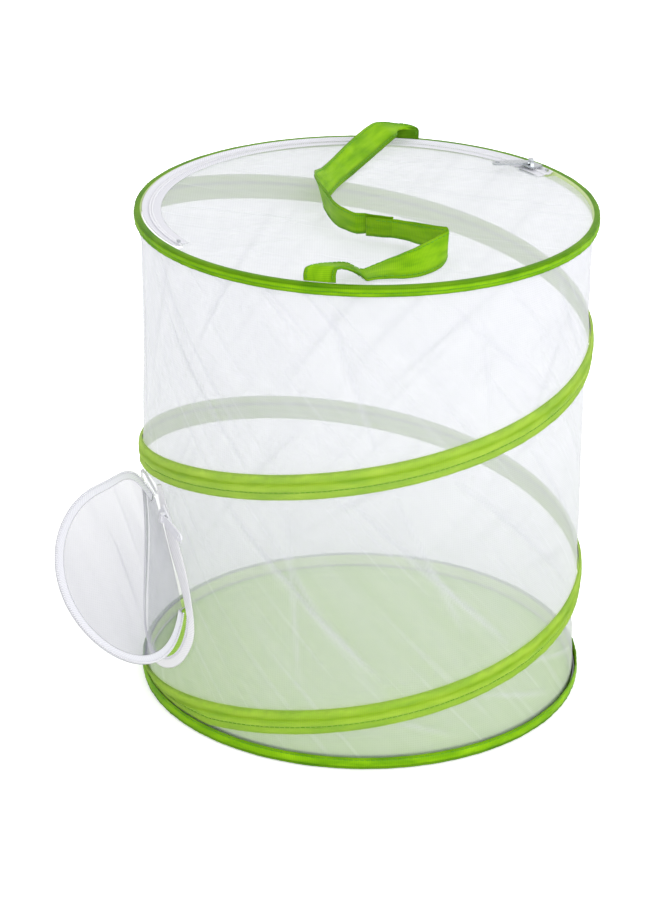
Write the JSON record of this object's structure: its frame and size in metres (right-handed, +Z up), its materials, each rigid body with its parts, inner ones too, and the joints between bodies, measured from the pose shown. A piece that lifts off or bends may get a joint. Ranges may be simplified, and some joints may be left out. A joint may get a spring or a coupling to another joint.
{
  "type": "insect cage",
  "caption": "Pop-up insect cage: a white net cylinder on green-taped wire hoops and a wire spiral, with a zipped lid, a zipped door and a carrying strap.",
  "frame": {"origin": "centre of the floor panel's underside, on the surface that the cage stands on", "axes": "+Z up along the cylinder's axis, -Y towards the camera of the picture, +X to its right; the small door is at the left, near -X"},
  "size_m": [0.3494, 0.3242, 0.3551],
  "materials": {
    "green_fabric": "woven",
    "white_net": "open mesh",
    "white_tape": "woven",
    "zip_plastic": "satin",
    "spring_steel": "drawn wire",
    "slider_metal": "satin"
  },
  "bodies": {
    "base": {"base_hoop_wire": "spring_steel", "base_hoop_sleeve": "spring_steel", "base_binding": "green_fabric", "floor_panel": "green_fabric", "spiral_casing": "green_fabric", "spiral_wire": "spring_steel", "wall_net": "white_net", "door_frame_tape": "white_tape", "door_frame_teeth": "zip_plastic", "door_fold_tape": "white_tape"},
    "top_ring": {"top_hoop_wire": "spring_steel", "top_hoop_sleeve": "spring_steel", "top_binding": "green_fabric", "lid_panel": "white_net", "lid_rim_tape": "white_tape", "lid_rim_teeth": "zip_plastic", "lid_end_tape": "white_tape", "lid_end_teeth": "zip_plastic", "lid_stop_closed": "slider_metal", "lid_stop_open": "slider_metal", "strap_front": "green_fabric", "strap_back": "green_fabric"},
    "lid_flap": {"lid_flap_net": "white_net", "lid_flap_tape": "white_tape", "lid_flap_teeth": "zip_plastic"},
    "lid_zip": {"lid_slider": "slider_metal"},
    "lid_pull": {"lid_pull": "slider_metal"},
    "door_flap": {"door_flap_net": "white_net", "door_flap_tape": "white_tape", "door_flap_teeth": "zip_plastic"},
    "door_zip": {"door_slider": "zip_plastic"},
    "door_pull": {"door_pull": "zip_plastic"}
  },
  "joints": [
    {"name": "collapse", "type": "slide", "parent": "base", "child": "top_ring", "axis": [0, 0, 1], "range_m": [-0.295, 0], "stiffness_N_per_m": 20, "springref_m": 0.15, "deforming": ["wall_net", "spiral_casing", "spiral_wire", "door_frame_tape", "door_frame_teeth", "door_fold_tape", "door_flap_net", "door_flap_tape", "door_flap_teeth"]},
    {"name": "lid_swing", "type": "hinge", "parent": "top_ring", "child": "lid_flap", "pos_m": [0.10143, 0.09795, 0.3342], "axis": [-0.7771, -0.6293, 0], "range_deg": [0, 80]},
    {"name": "lid_zip_travel", "type": "hinge", "parent": "top_ring", "child": "lid_zip", "pos_m": [0, 0, 0.3369], "axis": [0, 0, 1], "range_deg": [0, 172.5]},
    {"name": "lid_pull_flip", "type": "hinge", "parent": "lid_zip", "child": "lid_pull", "pos_m": [0.11261, 0.08486, 0.3405], "axis": [-0.1564, 0.9877, 0], "range_deg": [0, 170]},
    {"name": "door_swing", "type": "hinge", "parent": "base", "child": "door_flap", "pos_m": [-0.13578, -0.06514, 0.15343], "axis": [0.2487, -0.3933, -0.8851], "range_deg": [0, 123]},
    {"name": "door_zip_drop", "type": "slide", "parent": "base", "child": "door_zip", "axis": [0, 0, 1], "range_m": [-0.1276, 0]},
    {"name": "door_pull_flip", "type": "hinge", "parent": "door_zip", "child": "door_pull", "pos_m": [-0.13235, -0.07814, 0.1454], "axis": [-0.099, 0.1657, -0.9812], "range_deg": [0, 150]}
  ],
  "couplings": [
    {"joint": "door_zip_drop", "follows": "collapse", "ratio": 0.4323}
  ]
}
